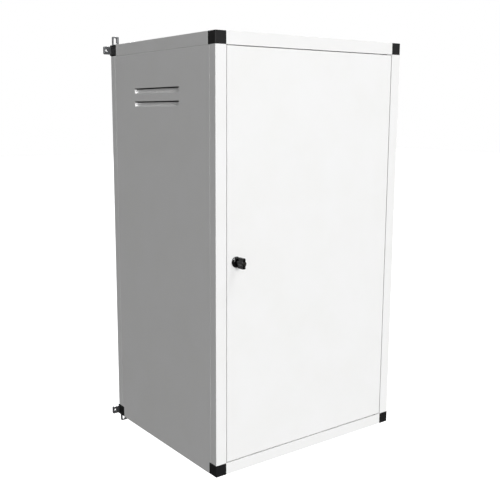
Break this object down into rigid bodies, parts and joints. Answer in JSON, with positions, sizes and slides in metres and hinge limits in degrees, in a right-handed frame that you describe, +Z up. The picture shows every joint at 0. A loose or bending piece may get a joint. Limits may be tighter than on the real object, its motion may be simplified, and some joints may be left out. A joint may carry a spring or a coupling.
{
  "type": "standpipe cabinet",
  "caption": "Wall-hung framed cabinet with a flush, right-hinged door, wing knob lock, louvred sides, black corner connectors, wall lugs, and a saddle and foot cup for a standpipe.",
  "frame": {"origin": "centre of the four round wall-bolt holes in the wall lugs, on the wall's surface", "axes": "+X to the right seen from the front, +Y into the wall, +Z up; the door faces -Y"},
  "size_m": [0.64, 0.5406, 1.107],
  "materials": {
    "white_profile": "white powder coat, satin",
    "white_sheet": "white powder coat, satin",
    "door_sheet": "white powder coat, satin",
    "corner_plastic": "black moulded nylon, fine texture",
    "lug_metal": "black coat on a die casting, semi-gloss",
    "nylon": "black moulded nylon",
    "seal_rubber": "black cellular rubber",
    "lock_plastic": "black, glossy",
    "key_metal": "nickel plated",
    "zinc_plate": "bright zinc plate",
    "screw_steel": "stainless, satin"
  },
  "bodies": {
    "frame": {"post_front_left": "white_profile", "post_front_right": "white_profile", "post_rear_left": "white_profile", "post_rear_right": "white_profile", "rail_top_front": "white_profile", "rail_top_rear": "white_profile", "rail_top_left": "white_profile", "rail_top_right": "white_profile", "rail_bottom_front": "white_profile", "rail_bottom_rear": "white_profile", "rail_bottom_left": "white_profile", "rail_bottom_right": "white_profile", "connector_top_front_left": "corner_plastic", "connector_top_front_right": "corner_plastic", "connector_top_rear_left": "corner_plastic", "connector_top_rear_right": "corner_plastic", "connector_bottom_front_left": "corner_plastic", "connector_bottom_front_right": "corner_plastic", "connector_bottom_rear_left": "corner_plastic", "connector_bottom_rear_right": "corner_plastic", "side_panel_left": "white_sheet", "side_panel_right": "white_sheet", "back_panel": "white_sheet", "roof_panel": "white_sheet", "floor_panel": "white_sheet", "door_stop_left": "white_sheet", "door_stop_right": "white_sheet", "door_stop_top": "white_sheet", "door_stop_bottom": "white_sheet", "stop_screws": "screw_steel", "pivot_bush_top": "nylon", "pivot_bush_bottom": "nylon", "wall_lug_top_left": "lug_metal", "wall_lug_top_right": "lug_metal", "wall_lug_bottom_left": "lug_metal", "wall_lug_bottom_right": "lug_metal", "lug_screws": "screw_steel", "saddle_bracket": "screw_steel", "saddle_pads": "seal_rubber", "saddle_screws": "screw_steel", "foot_cup": "nylon", "foot_cup_screws": "screw_steel"},
    "door": {"door_skin": "door_sheet", "door_liner": "door_sheet", "door_stiffeners": "door_sheet", "door_seal": "seal_rubber", "liner_rivets": "zinc_plate", "pivot_block_top": "zinc_plate", "pivot_block_bottom": "zinc_plate", "pivot_pin_top": "screw_steel", "pivot_pin_bottom": "screw_steel", "lock_housing": "lock_plastic", "lock_gasket": "seal_rubber", "lock_nut": "zinc_plate"},
    "lock": {"wing_knob": "lock_plastic", "lock_cam": "zinc_plate", "cam_washer": "screw_steel", "cam_screw": "screw_steel"},
    "key": {"key_plug": "key_metal"}
  },
  "joints": [
    {"name": "door_hinge", "type": "hinge", "parent": "frame", "child": "door", "pos_m": [0.25, -0.499, 0], "axis": [0, 0, 1], "range_deg": [0, 120]},
    {"name": "lock_turn", "type": "hinge", "parent": "door", "child": "lock", "pos_m": [-0.242, -0.506, 0], "axis": [0, 1, 0], "range_deg": [0, 90]},
    {"name": "key_turn", "type": "hinge", "parent": "lock", "child": "key", "pos_m": [-0.242, -0.54, 0], "axis": [0, 1, 0], "range_deg": [0, 90]}
  ]
}
